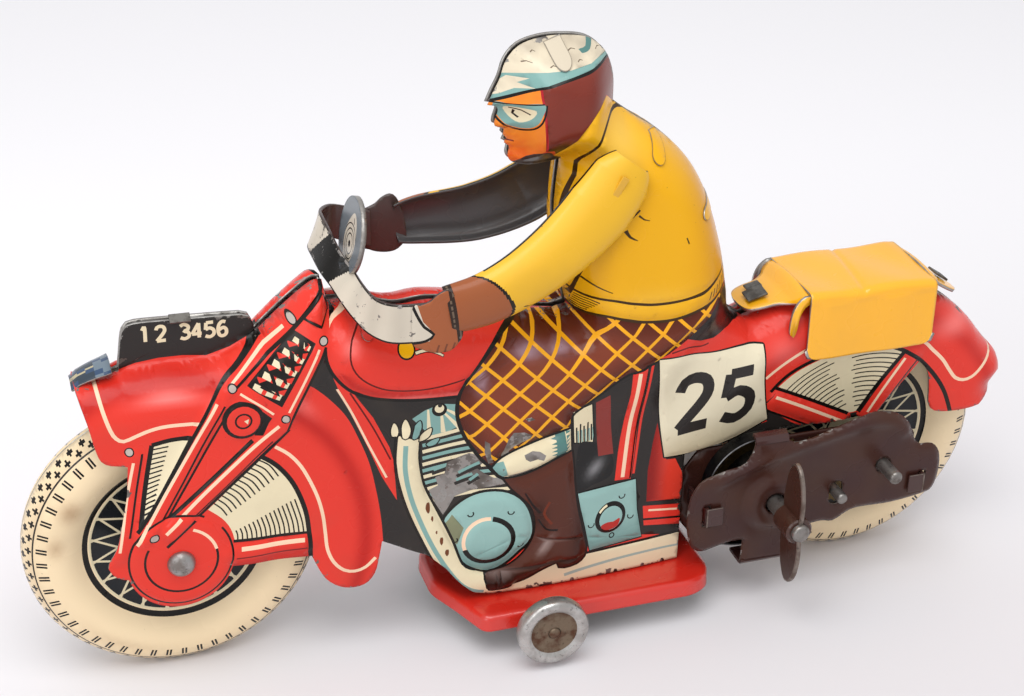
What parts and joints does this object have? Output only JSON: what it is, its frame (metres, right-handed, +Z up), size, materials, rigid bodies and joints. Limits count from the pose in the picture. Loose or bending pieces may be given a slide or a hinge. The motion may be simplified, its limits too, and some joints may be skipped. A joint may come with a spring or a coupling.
{
  "type": "wind-up toy motorcycle",
  "caption": "Pressed tin toy motorcycle with a seated rider, side stabiliser wheels, luggage carrier and a clockwork motor with a butterfly key.",
  "frame": {"origin": "middle of the whole toy's base, on the ground", "axes": "+X towards the rear of the toy, +Y towards its right side, +Z up"},
  "size_m": [0.19, 0.0532, 0.1122],
  "materials": {
    "red_litho": "satin lithographed tin, red with printed art",
    "wheel_litho": "satin lithographed tin, cream tyre and spokes",
    "sleeve_litho": "satin lithographed tin, yellow sleeve and brown gauntlet",
    "bar_litho": "satin lithographed tin, cream bar, black middle",
    "base_paint": "gloss red enamel",
    "carrier_paint": "gloss yellow-orange enamel",
    "motor_lacquer": "dark brown lacquer",
    "bare_steel": "dull bare steel, spotted with rust",
    "spring_steel": "blue-black oiled spring steel",
    "gear_brass": "stamped brass"
  },
  "bodies": {
    "frame": {"body_left": "red_litho", "body_right": "red_litho", "front_axle_rivet": "bare_steel", "front_axle_bush": "bare_steel", "base_pan": "base_paint", "motor_outer_plate": "motor_lacquer", "motor_inner_plate": "motor_lacquer", "mainspring": "spring_steel", "handlebar": "bar_litho", "left_arm": "sleeve_litho", "right_arm": "sleeve_litho", "luggage_carrier": "carrier_paint"},
    "front_wheel": {"front_wheel_left": "wheel_litho", "front_wheel_right": "wheel_litho"},
    "rear_wheel": {"rear_wheel_left": "wheel_litho", "rear_wheel_right": "wheel_litho", "rear_axle": "bare_steel", "rear_pinion": "bare_steel"},
    "layshaft_train": {"layshaft": "bare_steel", "layshaft_pinion": "bare_steel", "layshaft_wheel": "gear_brass"},
    "great_wheel_train": {"great_wheel": "gear_brass", "click_spring": "spring_steel"},
    "click_arm": {"click": "bare_steel"},
    "winding_train": {"winding_arbor": "bare_steel", "ratchet_wheel": "bare_steel", "winding_key": "motor_lacquer"},
    "stabiliser_wheels": {"stabiliser_axle": "bare_steel", "stabiliser_wheel_left": "bare_steel", "stabiliser_wheel_right": "bare_steel"}
  },
  "joints": [
    {"name": "front_wheel_spin", "type": "hinge", "parent": "frame", "child": "front_wheel", "pos_m": [-0.069, 0.0014, 0.0262], "axis": [0, 1, 0], "continuous": true},
    {"name": "rear_wheel_spin", "type": "hinge", "parent": "frame", "child": "rear_wheel", "pos_m": [0.0639, 0.0014, 0.0262], "axis": [0, 1, 0], "continuous": true},
    {"name": "layshaft_spin", "type": "hinge", "parent": "frame", "child": "layshaft_train", "pos_m": [0.0543, 0.0014, 0.0219], "axis": [0, 1, 0], "continuous": true},
    {"name": "great_wheel_spin", "type": "hinge", "parent": "frame", "child": "great_wheel_train", "pos_m": [0.0413, 0.0014, 0.0222], "axis": [0, 1, 0], "continuous": true},
    {"name": "click_lift", "type": "hinge", "parent": "great_wheel_train", "child": "click_arm", "pos_m": [0.0428, 0.0014, 0.0288], "axis": [0, 1, 0], "range_deg": [0, 7]},
    {"name": "key_wind", "type": "hinge", "parent": "frame", "child": "winding_train", "pos_m": [0.0413, 0.0014, 0.0222], "axis": [0, 1, 0], "range_deg": [0, 1800]},
    {"name": "stabiliser_spin", "type": "hinge", "parent": "frame", "child": "stabiliser_wheels", "pos_m": [-0.0051, 0.0014, 0.00785], "axis": [0, 1, 0], "continuous": true}
  ],
  "couplings": [
    {"joint": "layshaft_spin", "follows": "rear_wheel_spin", "ratio": -0.3},
    {"joint": "great_wheel_spin", "follows": "rear_wheel_spin", "ratio": 0.075}
  ]
}
